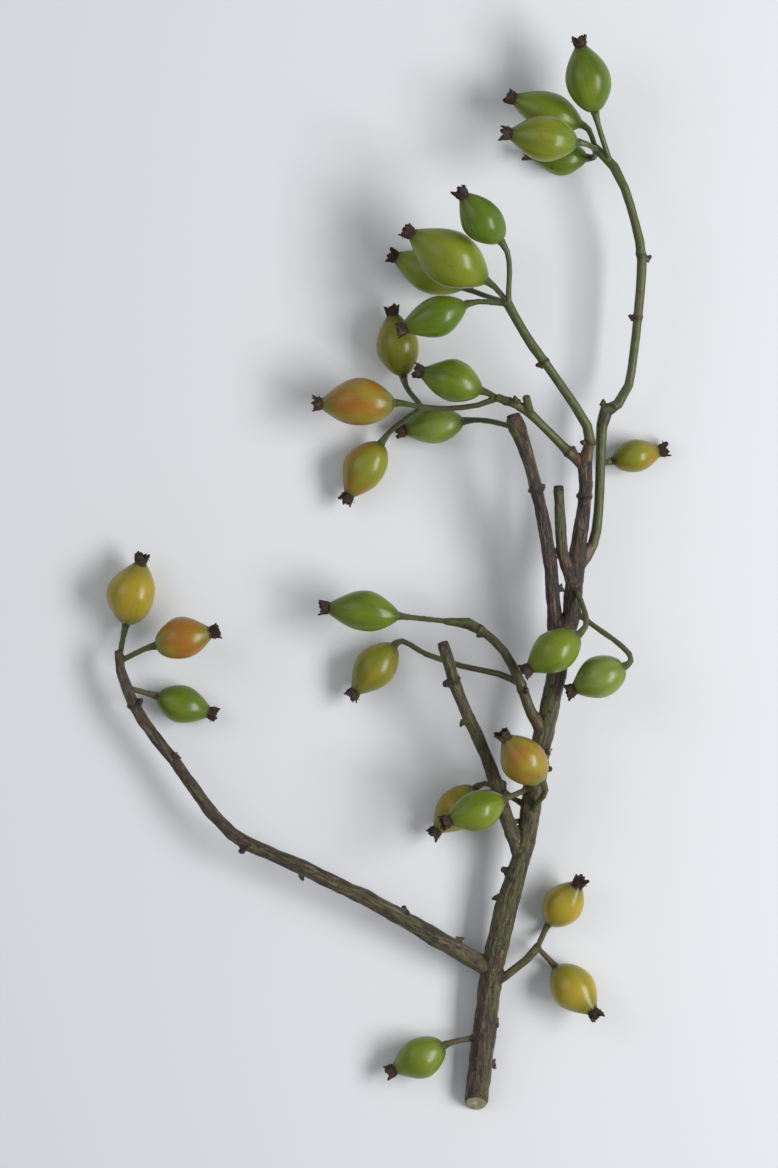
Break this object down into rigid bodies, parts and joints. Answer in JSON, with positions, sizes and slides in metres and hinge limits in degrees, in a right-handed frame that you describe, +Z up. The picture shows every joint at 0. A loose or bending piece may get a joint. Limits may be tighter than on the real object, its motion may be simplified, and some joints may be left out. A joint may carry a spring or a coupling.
{
  "type": "rose hip sprig",
  "caption": "Cut woody rose stem with side stems and green shoots, carrying glossy oval hips from green to orange with dry brown crowns, lying flat.",
  "frame": {"origin": "middle of the lying sprig's bounding box in plan, on the surface it lies on", "axes": "+Y from the cut end of the stem towards the tips, +Z up from the surface, +X to the right seen from above with the tips away"},
  "size_m": [0.2144, 0.4124, 0.0446],
  "materials": {
    "bark": "rough dark brown bark with green streaks",
    "green_shoot": "smooth green young bark, satin",
    "dry_calyx": "dry, ragged, matte dark brown",
    "hip_green": "smooth waxy green skin, glossy",
    "hip_lime": "smooth waxy yellow-green skin, glossy",
    "hip_pale": "smooth waxy pale green skin, glossy",
    "hip_olive": "smooth waxy olive skin, glossy",
    "hip_striped": "smooth waxy skin, green turning orange, glossy",
    "hip_gold": "smooth waxy golden skin, glossy",
    "hip_orange": "smooth waxy orange skin over green, glossy"
  },
  "bodies": {
    "root": {"woody_stem": "bark", "shoot_a": "green_shoot", "shoot_b": "green_shoot", "shoot_c": "green_shoot", "shoot_e": "green_shoot", "hip_a1": "hip_green", "crown_a1": "dry_calyx", "hip_a2": "hip_lime", "crown_a2": "dry_calyx", "hip_a3": "hip_green", "crown_a3": "dry_calyx", "hip_a4": "hip_green", "crown_a4": "dry_calyx", "hip_b1": "hip_green", "crown_b1": "dry_calyx", "hip_b2": "hip_lime", "crown_b2": "dry_calyx", "hip_b3": "hip_lime", "crown_b3": "dry_calyx", "hip_b4": "hip_green", "crown_b4": "dry_calyx", "hip_c1": "hip_green", "crown_c1": "dry_calyx", "hip_c2": "hip_pale", "crown_c2": "dry_calyx", "hip_c3": "hip_orange", "crown_c3": "dry_calyx", "hip_c4": "hip_striped", "crown_c4": "dry_calyx", "hip_c5": "hip_olive", "crown_c5": "dry_calyx", "hip_j1": "hip_striped", "crown_j1": "dry_calyx", "hip_d1": "hip_green", "crown_d1": "dry_calyx", "hip_d2": "hip_pale", "crown_d2": "dry_calyx", "hip_e1": "hip_green", "crown_e1": "dry_calyx", "hip_e2": "hip_olive", "crown_e2": "dry_calyx", "hip_f1": "hip_orange", "crown_f1": "dry_calyx", "hip_g1": "hip_olive", "crown_g1": "dry_calyx", "hip_g2": "hip_green", "crown_g2": "dry_calyx", "hip_h1": "hip_gold", "crown_h1": "dry_calyx", "hip_h2": "hip_gold", "crown_h2": "dry_calyx", "hip_i1": "hip_pale", "crown_i1": "dry_calyx", "hip_l1": "hip_gold", "crown_l1": "dry_calyx", "hip_l2": "hip_green", "crown_l2": "dry_calyx", "hip_l3": "hip_orange", "crown_l3": "dry_calyx"}
  },
  "joints": []
}
